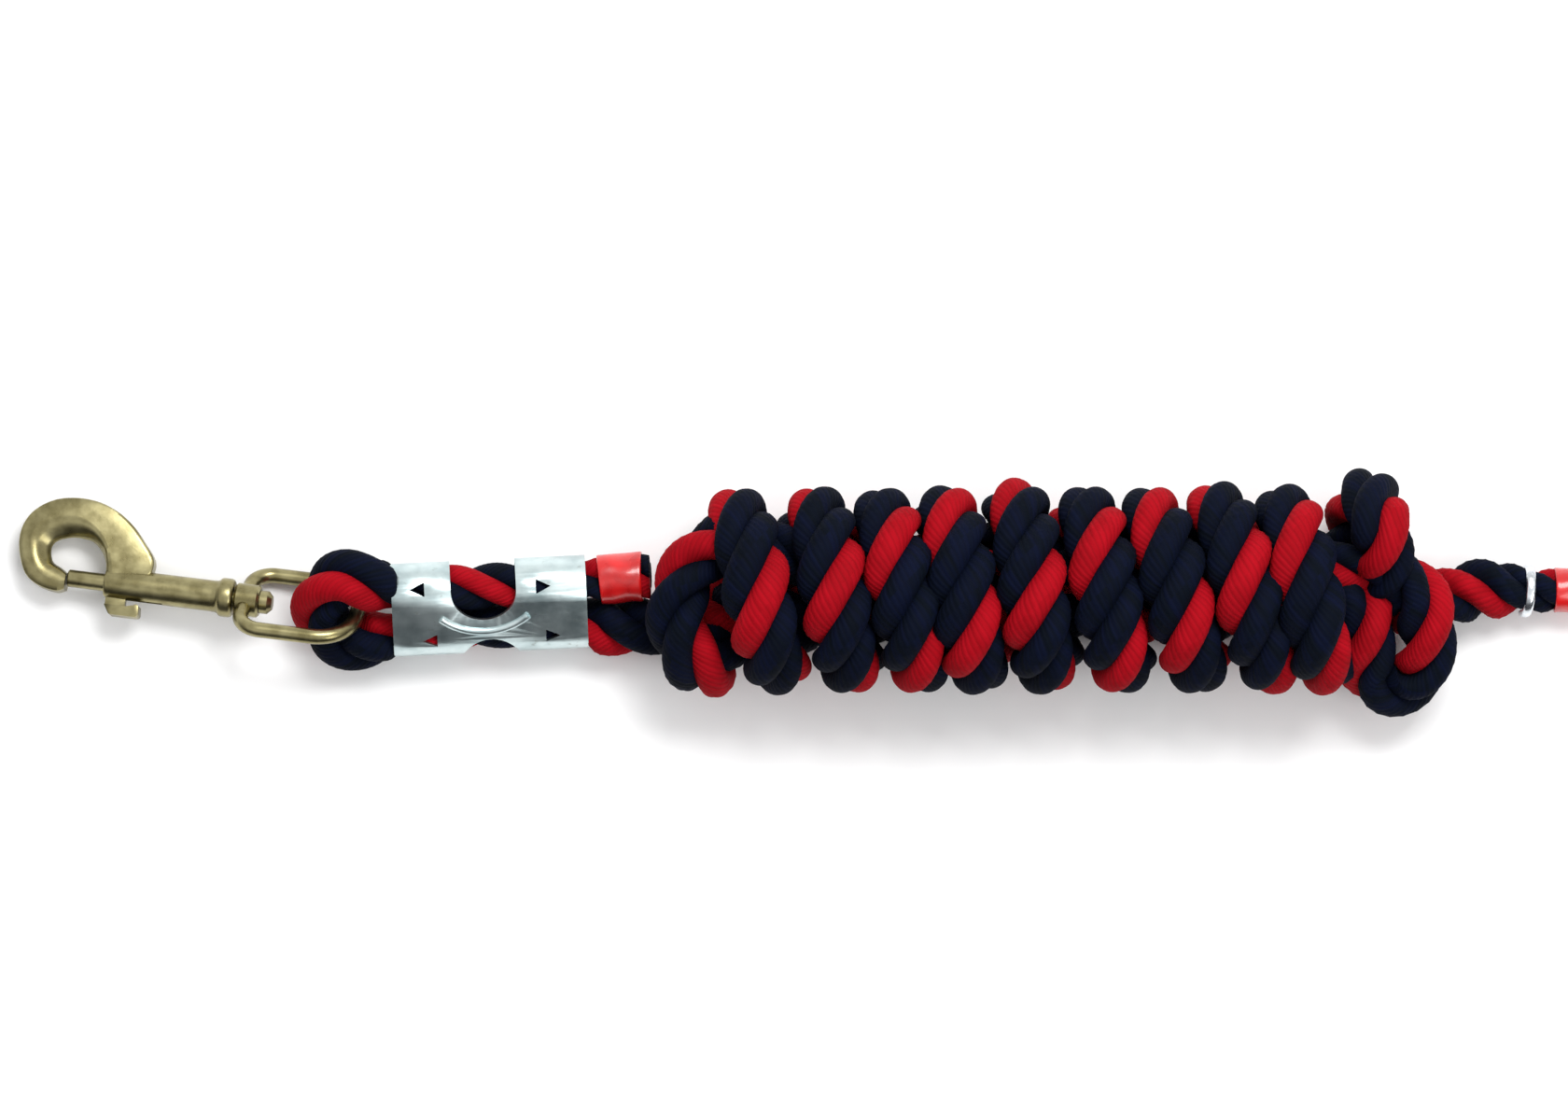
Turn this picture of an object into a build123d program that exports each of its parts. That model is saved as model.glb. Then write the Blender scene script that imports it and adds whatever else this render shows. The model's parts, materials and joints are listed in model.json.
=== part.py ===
from build123d import *
import math
import os

# Lead rope: a laid cotton rope wound into a hank, with a swivel-eye bolt snap on a clamped loop.
# Millimetres. X runs along the hank, from the snap (-X) to the taped end (+X). Z is up, and the
# object lies on Z = 0. The origin is the middle of the whole object's footprint.

# ---- rope
ROPE_D = 19.5             # 3/4 in three-strand rope
LOOP_ROPE_D = 18.4        # the same rope, drawn tight round the eye

# ---- bolt snap, in its own frame: u along the axis, v towards the hook's crown, w plate normal
SNAP_ORIGIN = Vector(-180.8, -2.6, 13.65)   # rear face of the barrel
SNAP_YAW = -7.0           # degrees, seen from above
SNAP_PITCH = 6.0          # the ring end is the higher one
SNAP_ROLL = 7.5           # the crown of the hook rests on the table
HOOK_THICK = 8.0
BARREL_R = 4.9
BARREL_FRONT = -40.9
COLLAR_R = 6.1
COLLAR_LENGTH = 4.4
BOLT_R = 2.75
BOLT_FRONT = -53.1
BOLT_REAR = -30.0
BOLT_TRAVEL = 11.5
RUNNING_GAP = 0.05        # radial, bolt in bore and stud in eye
NECK_FRONT = -40.2
NECK_LENGTH = 6.3
NECK_WIDTH = 3.0
THUMB_WIDTH = 6.4
SPRING_END = -10.1        # bottom of the bore
SPRING_R = 2.5
SPRING_WIRE = 0.6

# ---- swivel eye and its stud, on the same axis
EYE_ROLL = 55.0           # degrees that the ring's plane is rolled out of the table
EYE_WIRE_R = 2.4
EYE_HALF = 15.0           # axis to the middle of an arm
EYE_BOSS_R = 5.1
EYE_BOSS_FRONT = 0.3
EYE_BOSS_REAR = 8.2
EYE_SHOULDER_R = 7.0
EYE_BOW_U = 39.0          # middle of the wire, at the bow
EYE_SEAT_HALF = 3.0       # the bow is straight for this far each side of its middle
LOOP_SHIFT = -1.2         # the rope's loop sits this far along the bow
STUD_R = 2.1
STUD_DEPTH = 9.5
STUD_HEAD_R = 3.6
STUD_HEAD_THICK = 3.8

# ---- rope clamp, in its own frame: x along the rope, y across both ropes, z out of the front
CLAMP_LEFT = Vector(-131.3, -6.3, 15.6)
CLAMP_RIGHT = Vector(-70.6, -3.4, 13.6)
CLAMP_ROLL = 33.0         # degrees that the upper rope's side is lifted
CLAMP_WIDE = 31.0
CLAMP_DEEP = 19.0
SHEET = 1.2
LEG_OFFSET = 7.4          # rope legs from the clamp's middle
LEG_GAP = 0.05            # each leg's face from the middle, where they press on each other
WINDOW_X = 28.7           # middle of the big window, from the left end
WINDOW_W = 20.4
WINDOW_BOTTOM = 1.0       # its round end, across the clamp
ARCH_R = 8.8
ARCH_Y = -15.1
RIB_R = 20.0
RIB_Y = 16.8
RIB_HALF_ANGLE = 43.0
RIB_WIRE_R = 1.3
RIB_RISE = 0.5            # rib's centreline above the sheet's middle
BARB_SIDE = 4.6
BARB_BEND = 62.0          # degrees that a barb is bent in
BARB_THICK = 0.9
SEAM_GAP = 1.0            # where the sheet's edges meet, at the back

# ---- short end and its tape
SHORT_END_X = -50.6
SHORT_TAPE_FROM = -66.4
SHORT_TAPE_TO = -53.2
SHORT_TAPE_D = 15.6
TAPE = 0.3

# ---- hank
WRAP_HALF_WIDTH = 23.4    # rope's centreline, across the hank
WRAP_HALF_HEIGHT = 20.2
WRAP_CORNER_R = 15.5
WRAPS = [-17.0, 4.5, 25.3, 46.5, 68.0, 89.5, 111.5, 133.5, 151.5]
LAST_WRAP_X = 173.0
LAST_WRAP_TOP = 29.6      # the last wrap stands out on the +Y side
CORE_FROM = -24.0
CORE_TO = 176.0
CORE_INSET = 1.5          # the two inner runs fill the wraps up to here inside their centreline
LEAD_IN_X = -44.0         # where the standing part goes into the hank
TAIL_X = 206.0            # where the tail comes out of it

# ---- tail, ring and far tape
NECK_IN_D = 15.4          # rope past the ring
RING_X = 224.6
RING_WIRE_R = 1.7
RING_R = 6.9              # centreline
RING_OPEN = 24.0          # degrees left open between its crimped ends
RING_GAP_AT = 215.0       # degrees from +Y towards +Z
RING_Z = 8.8
DRAWN_IN_Y = -0.2         # axis of the rope past the ring
DRAWN_IN_Z = 8.6
FAR_TAPE_FROM = 232.6
FAR_TAPE_TO = 245.4
FAR_TAPE_D = 13.8
TAIL_END_X = 248.6


def frame_of(origin, along, across):
    """Right-handed plane with x along the first direction and y nearest to the second."""
    x = along.normalized()
    y = (across - x * across.dot(x)).normalized()
    return Plane(origin=origin, x_dir=x, z_dir=x.cross(y))


def snap_directions():
    """Axis of the snap, the level direction across it, and the one above it."""
    yaw, pitch = math.radians(SNAP_YAW), math.radians(SNAP_PITCH)
    along = Vector(math.cos(pitch) * math.cos(yaw), math.cos(pitch) * math.sin(yaw), math.sin(pitch))
    level = Vector(-math.sin(yaw), math.cos(yaw), 0)
    return along, level, along.cross(level)


def rolled(degrees):
    """Direction across the snap's axis, lifted by this angle from the level one."""
    along, level, above = snap_directions()
    angle = math.radians(degrees)
    return level * math.cos(angle) + above * math.sin(angle)


def snap_frame():
    return frame_of(SNAP_ORIGIN, snap_directions()[0], rolled(-SNAP_ROLL))


def eye_frame():
    """x along the snap's axis, y towards the lifted arm of the ring."""
    return frame_of(SNAP_ORIGIN, snap_directions()[0], rolled(180 - EYE_ROLL))


def clamp_frame():
    along = CLAMP_RIGHT - CLAMP_LEFT
    roll = math.radians(CLAMP_ROLL)
    return frame_of(CLAMP_LEFT, along, Vector(0, math.cos(roll), math.sin(roll)))


def bow_middle():
    """Where the rope's loop hangs on the eye: a little down the bow."""
    return eye_frame().from_local_coords(Vector(EYE_BOW_U, LOOP_SHIFT, 0))


def loop_frame():
    """x towards the clamp, y across the loop, towards the upper leg; its plane is square to the bow."""
    bow_axis = rolled(180 - EYE_ROLL)
    towards = CLAMP_LEFT - bow_middle()
    towards = towards - bow_axis * towards.dot(bow_axis)
    return frame_of(bow_middle(), towards, towards.cross(bow_axis) * -1)


def rod(radius, start, end):
    """Solid round bar along local x."""
    bar = Cylinder(radius, end - start, align=(Align.CENTER, Align.CENTER, Align.MIN))
    return Pos(start, 0, 0) * Rot(0, 90, 0) * bar


def tube_along(points, radii, diameter):
    """Round bar along straight runs joined by tangent arcs."""
    path = FilletPolyline(*points, radius=radii)
    section = Plane(origin=path @ 0, z_dir=path % 0) * Circle(diameter / 2)
    solid = sweep(section, path=path)
    expected = math.pi * diameter ** 2 / 4 * path.length
    print("tube", round(path.length, 1), "mm, radii", [round(r, 1) for r in radii],
          "volume ratio", round(solid.volume / expected, 4))
    return solid


def corner_radii(points, share=0.45):
    """Largest even arc at each corner: a share of the shorter run over the tangent of half the turn."""
    radii = []
    for before, here, after in zip(points, points[1:], points[2:]):
        first, second = here - before, after - here
        turn = math.radians(first.get_angle(second))
        radii.append(share * min(first.length, second.length) / math.tan(turn / 2))
    return radii


# ------------------------------------------------------------------ bolt snap

def hook_outline():
    """Hook and web in the plate's plane, from the tip over the crown to the barrel and back inside."""
    tip_in, tip_out = (-53.3, 1.4), (-53.3, -3.6)
    tip_low, heel = (-54.6, -4.9), (-64.3, -2.4)
    left, crown = (-69.8, 11.5), (-52.5, 25.3)
    shoulder, back = (-36.8, 21.0), (-27.4, 10.4)
    under, foot, front_foot = (-26.9, 5.3), (-28.5, 1.5), (-41.0, 1.5)
    throat, inner_top, inner_left = (-41.0, 3.2), (-49.5, 13.0), (-60.6, 8.3)
    edges = [
        Line(tip_in, tip_out), Line(tip_out, tip_low), Line(tip_low, heel),
        ThreePointArc(heel, (-68.2, 3.0), left), ThreePointArc(left, (-66.2, 19.7), crown),
        ThreePointArc(crown, (-44.0, 24.2), shoulder), Line(shoulder, back),
        ThreePointArc(back, (-26.2, 7.8), under), Line(under, foot),
        Line(foot, front_foot), Line(front_foot, throat),
        ThreePointArc(throat, (-43.4, 9.6), inner_top),
        ThreePointArc(inner_top, (-57.4, 12.3), inner_left),
        ThreePointArc(inner_left, (-58.6, 4.0), tip_in),
    ]
    return make_face(Wire(edges))


def snap_body():
    plate = extrude(hook_outline(), HOOK_THICK / 2, both=True)
    barrel = rod(BARREL_R, BARREL_FRONT, -0.2)
    collar = rod(COLLAR_R, -COLLAR_LENGTH, 0)
    collar = chamfer(collar.edges().filter_by(GeomType.CIRCLE), 1.0)
    stop = Pos(BARREL_FRONT - 0.1, -4.6, 0) * Box(1.2, 3.8, 4.6)
    solid = plate + barrel + collar + stop
    bore = rod(BOLT_R + RUNNING_GAP, -45, SPRING_END)
    slot_from, slot_to = NECK_FRONT - 0.15, NECK_FRONT + NECK_LENGTH + BOLT_TRAVEL + 0.2
    slot = Pos((slot_from + slot_to) / 2, -4.5, 0) * Box(slot_to - slot_from, 9, NECK_WIDTH + 0.4)
    stud_hole = rod(STUD_R, -STUD_DEPTH - 0.7, 1)
    stake = Pos(-7.9, 1.6, BARREL_R) * Sphere(0.9)
    return solid - bore - slot - stud_hole - stake


def snap_bolt():
    shaft = rod(BOLT_R, BOLT_FRONT, BOLT_REAR)
    shaft = chamfer(shaft.edges().filter_by(GeomType.CIRCLE), 0.4)
    neck = Box(NECK_LENGTH, 7.4, NECK_WIDTH, align=(Align.MIN, Align.MAX, Align.CENTER))
    thumb_edges = [
        Line((-40.2, -7.0), (-38.6, -9.6)), ThreePointArc((-38.6, -9.6), (-38.2, -9.95), (-37.7, -10.0)),
        Line((-37.7, -10.0), (-30.2, -10.0)), ThreePointArc((-30.2, -10.0), (-29.4, -9.6), (-29.1, -8.8)),
        Line((-29.1, -8.8), (-29.3, -6.5)), ThreePointArc((-29.3, -6.5), (-30.0, -6.0), (-30.8, -6.3)),
        Line((-30.8, -6.3), (-33.2, -7.0)), Line((-33.2, -7.0), (-40.2, -7.0)),
    ]
    thumb = extrude(make_face(Wire(thumb_edges)), THUMB_WIDTH / 2, both=True)
    return shaft + Pos(NECK_FRONT, 0, 0) * neck + thumb


def bolt_spring():
    """Sleeve of the coil spring's outer size, between the bolt and the bottom of the bore."""
    start, end = BOLT_REAR + 0.05, SPRING_END - 0.05
    return rod(SPRING_R, start, end) - rod(SPRING_R - SPRING_WIRE, start - 1, end + 1)


def swivel_stud():
    shank = rod(STUD_R, -STUD_DEPTH, EYE_BOSS_REAR + 0.2)
    head_from = EYE_BOSS_REAR + 0.15
    head = rod(STUD_HEAD_R, head_from, head_from + STUD_HEAD_THICK)
    outer = head.edges().filter_by(GeomType.CIRCLE).sort_by(Axis.X)[-1]
    return shank + chamfer(outer, 1.4)


def swivel_eye():
    """D-shaped ring of round wire with a bored boss on the straight side."""
    bar = (EYE_BOSS_FRONT + EYE_BOSS_REAR) / 2 - 0.6
    shoulder, corner = bar + EYE_SHOULDER_R, EYE_HALF - EYE_SHOULDER_R
    bow_r = EYE_HALF - EYE_SEAT_HALF
    bend = EYE_BOW_U - bow_r
    bow_x, bow_y = bend + math.sqrt(0.5) * bow_r, EYE_SEAT_HALF + math.sqrt(0.5) * bow_r
    half = [Line((bar, 0), (bar, corner)),
            RadiusArc((bar, corner), (shoulder, EYE_HALF), EYE_SHOULDER_R),
            Line((shoulder, EYE_HALF), (bend, EYE_HALF)),
            ThreePointArc((bend, EYE_HALF), (bow_x, bow_y), (EYE_BOW_U, EYE_SEAT_HALF))]
    seat = Line((EYE_BOW_U, EYE_SEAT_HALF), (EYE_BOW_U, -EYE_SEAT_HALF))
    other = [ThreePointArc((EYE_BOW_U, -EYE_SEAT_HALF), (bow_x, -bow_y), (bend, -EYE_HALF)),
             Line((bend, -EYE_HALF), (shoulder, -EYE_HALF)),
             RadiusArc((shoulder, -EYE_HALF), (bar, -corner), EYE_SHOULDER_R),
             Line((bar, -corner), (bar, -0.4))]
    path = Wire(half + [seat] + other)
    ring = sweep(Plane(origin=path @ 0, z_dir=path % 0) * Circle(EYE_WIRE_R), path=path)
    boss = rod(EYE_BOSS_R, EYE_BOSS_FRONT, EYE_BOSS_REAR)
    boss = chamfer(boss.edges().filter_by(GeomType.CIRCLE), 0.7)
    return ring + boss - rod(STUD_R + RUNNING_GAP, -5, 15)


# ------------------------------------------------------------------ clamp and clamped rope

def clamp_length():
    return (CLAMP_RIGHT - CLAMP_LEFT).length


def clamp_section(inset):
    """Stadium across the clamp, in the plane square to local x."""
    slot = SlotOverall(CLAMP_WIDE - 2 * inset, CLAMP_DEEP - 2 * inset)
    return Plane(origin=(0, 0, 0), x_dir=(0, 1, 0), z_dir=(1, 0, 0)) * slot


def barb_places():
    """Each barb's place on the sheet, its z outwards and its x the way the barb points."""
    flat = (CLAMP_WIDE - CLAMP_DEEP) / 2
    upper = [(8.0, flat, 39, 180), (47.4, flat, 35, 0)]
    lower = [(11.4, -flat, 0, 180), (50.0, -flat, 0, 0)]
    for x, y, tilt, turn in upper + lower:
        yield Pos(x, y, 0) * Rot(-tilt, 0, 0) * Rot(0, 0, turn)


def barb_hole():
    """Triangular hole that a barb leaves in the sheet."""
    half = BARB_SIDE / 2
    face = Polygon((-half, -half), (half, 0), (-half, half), align=None)
    return Pos(0, 0, CLAMP_DEEP / 2 - 3) * extrude(face, 5)


def rope_clamp():
    length = clamp_length()
    shell = extrude(clamp_section(0), length) - extrude(clamp_section(SHEET), length)
    window = Pos(WINDOW_X, WINDOW_BOTTOM + WINDOW_W / 2 + 15, 0) * Box(WINDOW_W, 30, 40)
    window += Pos(WINDOW_X, WINDOW_BOTTOM + WINDOW_W / 2, 0) * Cylinder(WINDOW_W / 2, 40)
    arch = Pos(WINDOW_X + 1.8, ARCH_Y, 0) * Cylinder(ARCH_R, 40)
    seam = Pos(length / 2, 0, -CLAMP_DEEP / 2) * Box(length + 2, SEAM_GAP, 4)
    shell = shell - window - arch - seam
    points = []
    for degrees in (-RIB_HALF_ANGLE, 0, RIB_HALF_ANGLE):
        angle = math.radians(degrees)
        points.append((WINDOW_X + RIB_R * math.sin(angle), RIB_Y - RIB_R * math.cos(angle),
                       CLAMP_DEEP / 2 - SHEET / 2 + RIB_RISE))
    path = ThreePointArc(*points)
    rib = sweep(Plane(origin=path @ 0, z_dir=path % 0) * Circle(RIB_WIRE_R), path=path)
    inside = extrude(clamp_section(SHEET), length)
    shell = shell + (rib - inside)
    for place in barb_places():
        shell = shell - place * barb_hole()
    return shell


def barb_teeth():
    """The four triangles of sheet, bent in with their points in the rope."""
    half = BARB_SIDE / 2
    leaf = extrude(Polygon((0, -half), (BARB_SIDE * 0.8, 0), (0, half), align=None), BARB_THICK)
    root = Pos(-half, 0, CLAMP_DEEP / 2 - SHEET) * Rot(0, BARB_BEND, 0)
    return [place * root * leaf for place in barb_places()]


def clamped_legs():
    """Both legs squeezed to the inside of the clamp, split where they press on each other."""
    length = clamp_length()
    filling = extrude(clamp_section(SHEET), length)
    halves = []
    for side in (1, -1):
        half = Pos(length / 2, side * (20 + LEG_GAP), 0) * Box(length + 2, 40, 40)
        leg = filling & half
        for tooth in barb_teeth():
            leg = leg - tooth
        halves.append(leg)
    return Compound(halves)


# ------------------------------------------------------------------ rope outside the clamp

def beside_clamp(x_middle):
    """All the space of one end of the clamp, to cut a rope off flush with it."""
    return clamp_frame() * Pos(x_middle, 0, 0) * Box(40, 80, 80)


def leg_end(side, at_right):
    """Middle of a leg at one end of the clamp."""
    x = clamp_length() if at_right else 0
    return clamp_frame().from_local_coords(Vector(x, side * LEG_OFFSET, 0))


def eye_loop():
    place = loop_frame()
    inner = [(3.4, 12.0), (-7.1, 12.3), (-14.1, 0), (-7.1, -12.3), (3.4, -12.0)]
    points = [leg_end(1, False)] + [place.from_local_coords(Vector(x, y, 0)) for x, y in inner]
    points.append(leg_end(-1, False))
    solid = tube_along(points, corner_radii(points, 0.49), LOOP_ROPE_D)
    return solid - beside_clamp(20)


def short_end_tube(diameter):
    points = [leg_end(1, True), Vector(-62.0, 3.9, 17.6), Vector(SHORT_END_X, 4.3, 18.3)]
    return tube_along(points, corner_radii(points), diameter) - beside_clamp(clamp_length() - 20)


def short_end():
    return short_end_tube(SHORT_TAPE_D - 2 * TAPE)


def short_end_tape():
    """Tape wound round the short end."""
    middle = (SHORT_TAPE_FROM + SHORT_TAPE_TO) / 2
    reach = Pos(middle, 0, 20) * Box(SHORT_TAPE_TO - SHORT_TAPE_FROM, 60, 60)
    return (short_end_tube(SHORT_TAPE_D) & reach) - short_end()


def lead_points():
    return [leg_end(-1, True), Vector(-60.5, -11.6, 9.8), Vector(-50.5, -11.2, 9.8), Vector(-38.0, -8.5, 12.0)]


def standing_part():
    """From the clamp to the hank."""
    points = lead_points()
    solid = tube_along(points, corner_radii(points), ROPE_D) - beside_clamp(clamp_length() - 20)
    return solid - Pos(LEAD_IN_X + 20, 0, 20) * Box(40, 80, 80) - short_end_tube(SHORT_TAPE_D)


def wrap_ring(x, top=WRAP_HALF_WIDTH):
    """One turn of rope round the hank."""
    width = top + WRAP_HALF_WIDTH
    height = 2 * WRAP_HALF_HEIGHT
    face = RectangleRounded(width, height, WRAP_CORNER_R)
    middle = Vector(x, (top - WRAP_HALF_WIDTH) / 2, WRAP_HALF_HEIGHT + ROPE_D / 2)
    path = (Plane(origin=middle, x_dir=(0, 1, 0), z_dir=(1, 0, 0)) * face).face().outer_wire()
    return sweep(Plane(origin=path @ 0, z_dir=path % 0) * Circle(ROPE_D / 2), path=path)


def hank_core():
    """The two runs inside the wraps, as one filling up to the wraps' centreline."""
    width, height = 2 * (WRAP_HALF_WIDTH - CORE_INSET), 2 * (WRAP_HALF_HEIGHT - CORE_INSET)
    face = RectangleRounded(width, height, WRAP_CORNER_R)
    middle = Vector(CORE_FROM, 0, WRAP_HALF_HEIGHT + ROPE_D / 2)
    section = Plane(origin=middle, x_dir=(0, 1, 0), z_dir=(1, 0, 0)) * face
    return extrude(section, CORE_TO - CORE_FROM)


def left_turn():
    points = [Vector(-14, 11, 35), Vector(-30, 12, 35), Vector(-41, 0, 34), Vector(-40.5, -16, 32),
              Vector(-27, -22.5, 24), Vector(-14, -20, 18)]
    return tube_along(points, corner_radii(points), ROPE_D)


def lead_in():
    points = lead_points()[1:] + [Vector(-22, -5, 20)]
    solid = tube_along(points, corner_radii(points), ROPE_D)
    return solid - Pos(LEAD_IN_X - 20, 0, 20) * Box(40, 80, 80)


def right_bight():
    points = [Vector(152, 9, 29), Vector(166.5, 3, 28.4), Vector(172, -11, 25), Vector(172, -29.6, 18),
              Vector(195.5, -29.6, 17), Vector(197, -13, 23), Vector(195, 4, 30), Vector(180, 8, 32.5)]
    return tube_along(points, corner_radii(points), ROPE_D)


def tail_points():
    return [Vector(183, -4, 18), Vector(194, 0, 10.8), Vector(207, 0.6, 9.9), Vector(219, 0.3, 9.8)]


def tail_out():
    points = tail_points()
    solid = tube_along(points, corner_radii(points), ROPE_D)
    return solid - Pos(TAIL_X + 20, 0, 20) * Box(40, 80, 80)


def rope_hank():
    """Ten wraps over two inner runs, the turn at the left end and the bight at the right one."""
    solid = hank_core()
    for x in WRAPS:
        solid = solid + wrap_ring(x)
    solid = solid + wrap_ring(LAST_WRAP_X, LAST_WRAP_TOP)
    return solid + left_turn() + lead_in() + right_bight() + tail_out()


def rope_tail():
    """Rope from the hank to its cut end, drawn in by the ring and the tape."""
    points = tail_points()[1:] + [Vector(231, 0.0, 9.9)]
    full = tube_along(points, corner_radii(points), ROPE_D)
    keep = Pos((TAIL_X + RING_X) / 2, 0, 20) * Box(RING_X - TAIL_X, 60, 60)
    past_ring = tail_rod(NECK_IN_D / 2, RING_X, FAR_TAPE_FROM)
    in_tape = tail_rod(FAR_TAPE_D / 2 - TAPE, FAR_TAPE_FROM - 0.1, TAIL_END_X)
    return (full & keep) + past_ring + in_tape - end_ring()


def tail_rod(radius, x_from, x_to):
    """Level round bar on the tail's axis, lying on the table past the ring."""
    return Pos(x_from, DRAWN_IN_Y, DRAWN_IN_Z) * Rot(0, 90, 0) * \
        Cylinder(radius, x_to - x_from, align=(Align.CENTER, Align.CENTER, Align.MIN))


def end_ring():
    """Open ring of wire, crimped into the rope, its ends meeting on the -Y side below."""
    points = []
    for degrees in (RING_GAP_AT + RING_OPEN / 2, RING_GAP_AT + 180, RING_GAP_AT + 360 - RING_OPEN / 2):
        turn = math.radians(degrees)
        points.append((RING_X, DRAWN_IN_Y + RING_R * math.cos(turn), RING_Z + RING_R * math.sin(turn)))
    path = ThreePointArc(*points)
    return sweep(Plane(origin=path @ 0, z_dir=path % 0) * Circle(RING_WIRE_R), path=path)


def far_end_tape():
    return tail_rod(FAR_TAPE_D / 2, FAR_TAPE_FROM, FAR_TAPE_TO) - rope_tail()


def write(name, shape):
    export_step(shape, f"parts/{name}.step")
    box = shape.bounding_box()
    print(name, round(shape.volume), "mm3", [round(v, 1) for v in (*box.min, *box.max)])


def main():
    os.makedirs("parts", exist_ok=True)
    snap, eye, clamp = snap_frame().location, eye_frame().location, clamp_frame().location
    write("snap_body", snap * snap_body())
    write("snap_bolt", snap * snap_bolt())
    write("bolt_spring", snap * bolt_spring())
    write("swivel_stud", snap * swivel_stud())
    write("swivel_eye", eye * swivel_eye())
    write("rope_clamp", clamp * rope_clamp())
    write("rope_in_clamp", clamp * clamped_legs())
    write("rope_eye_loop", eye_loop())
    write("rope_short_end", short_end())
    write("short_end_tape", short_end_tape())
    write("rope_lead", standing_part())
    write("rope_hank", rope_hank())
    write("rope_tail", rope_tail())
    write("end_ring", end_ring())
    write("far_end_tape", far_end_tape())


main()
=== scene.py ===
import bmesh
import bpy
import json
import math
import numpy as np
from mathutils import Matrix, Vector


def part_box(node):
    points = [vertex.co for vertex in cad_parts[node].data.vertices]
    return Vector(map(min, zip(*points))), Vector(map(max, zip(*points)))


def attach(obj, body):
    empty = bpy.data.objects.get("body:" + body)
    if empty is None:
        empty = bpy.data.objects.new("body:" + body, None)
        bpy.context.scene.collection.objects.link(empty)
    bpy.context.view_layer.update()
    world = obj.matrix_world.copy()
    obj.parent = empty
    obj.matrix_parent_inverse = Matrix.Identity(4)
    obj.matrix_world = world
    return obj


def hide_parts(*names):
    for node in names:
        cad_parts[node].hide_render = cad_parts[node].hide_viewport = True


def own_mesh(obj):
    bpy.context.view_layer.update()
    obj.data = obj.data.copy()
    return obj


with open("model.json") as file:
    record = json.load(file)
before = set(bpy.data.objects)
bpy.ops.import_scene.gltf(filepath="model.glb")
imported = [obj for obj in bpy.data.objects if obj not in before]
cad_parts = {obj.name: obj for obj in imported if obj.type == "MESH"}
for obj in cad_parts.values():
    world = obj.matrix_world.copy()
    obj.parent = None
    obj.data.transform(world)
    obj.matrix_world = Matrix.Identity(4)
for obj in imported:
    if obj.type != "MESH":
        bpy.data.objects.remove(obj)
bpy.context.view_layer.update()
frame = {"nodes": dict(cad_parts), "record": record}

MM = 0.001
ROPE_D = 0.0195            # rope's thickness when nothing squeezes it
LAY = 0.0440               # one turn of the strands, in the wound stretch
TAIL_LAY = 0.0395          # one turn of the strands, in the tail
STRAND_AT = 0.00485        # strand's middle from the rope's middle
STRAND_DEEP = 0.0049       # half a strand, outwards
STRAND_WIDE = 0.0054       # half a strand, round the rope
YARNS = 17                 # yarns round one strand
YARN_TURN = -360.0         # radians per metre that the yarns turn against the strand


# ------------------------------------------------------------------ node helpers

class Value:
    """A shader socket that Python arithmetic can be done on."""

    def __init__(self, finish, node, output=0):
        self.finish = finish
        self.node = node
        self.output = output

    def part(self, output):
        """Another output of the same node."""
        return Value(self.finish, self.node, output)

    def math(self, operation, *others):
        """This value and the others put through one of Blender's sums."""
        return self.finish.add("ShaderNodeMath", {"operation": operation}, dict(enumerate((self,) + others)))

    def __add__(self, other):
        return self.math("ADD", other)

    def __mul__(self, other):
        return self.math("MULTIPLY", other)

    def __rsub__(self, other):
        return self.finish.add("ShaderNodeMath", {"operation": "SUBTRACT"}, {0: other, 1: self})

    __radd__ = __add__
    __rmul__ = __mul__

    def step(self, low, high):
        """0 below low, 1 above high, smooth between."""
        return self.finish.add("ShaderNodeMapRange", {"interpolation_type": "SMOOTHSTEP"},
                               {"Value": self, "From Min": low, "From Max": high})


class Finish:
    """A material, or the room's light if it is given a world; add() makes any of its nodes."""

    def __init__(self, name, world=None):
        self.material = world or bpy.data.materials.new(name)
        self.material.use_nodes = True
        self.tree = self.material.node_tree
        self.tree.nodes.clear()

    def add(self, kind, settings=None, inputs=None, output=0):
        """A new node with its settings, its inputs as numbers or Values, and one of its outputs as a Value."""
        node = self.tree.nodes.new(kind)
        for key, value in (settings or {}).items():
            if key == "stops":
                ramp = node.color_ramp
                while len(ramp.elements) < len(value):
                    ramp.elements.new(1.0)
                for element, (place, colour) in zip(ramp.elements, value):
                    element.position = place
                    element.color = colour
            else:
                setattr(node, key, value)
        for key, value in (inputs or {}).items():
            if isinstance(value, Value):
                self.tree.links.new(value.node.outputs[value.output], node.inputs[key])
            else:
                node.inputs[key].default_value = value
        return Value(self, node, output)

    def place(self, scale=(1, 1, 1)):
        """Where a point is on the piece, in metres, stretched by scale."""
        coordinates = self.add("ShaderNodeTexCoord", output="Object")
        return self.add("ShaderNodeMapping", {}, {"Vector": coordinates, "Scale": scale})

    def noise(self, where, scale, detail):
        """Cloudy values about 0.5."""
        return self.add("ShaderNodeTexNoise", {}, {"Vector": where, "Scale": scale, "Detail": detail,
                                                   "Roughness": 0.55})

    def mix(self, share, first, second):
        """First where share is 0, second where it is 1."""
        return self.add("ShaderNodeMix", {"data_type": "RGBA"}, {0: share, 6: first, 7: second}, output=2)

    def bump(self, height, distance, strength):
        """A normal that shows height, where 1 stands for distance in metres."""
        return self.add("ShaderNodeBump", {}, {"Height": height, "Distance": distance, "Strength": strength})

    def done(self, **sockets):
        """The finished material; each name is a socket of the shader."""
        shader = self.add("ShaderNodeBsdfPrincipled", {}, {key.replace("_", " "): value
                                                           for key, value in sockets.items()})
        self.add("ShaderNodeOutputMaterial", {}, {"Surface": shader})
        return self.material


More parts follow.
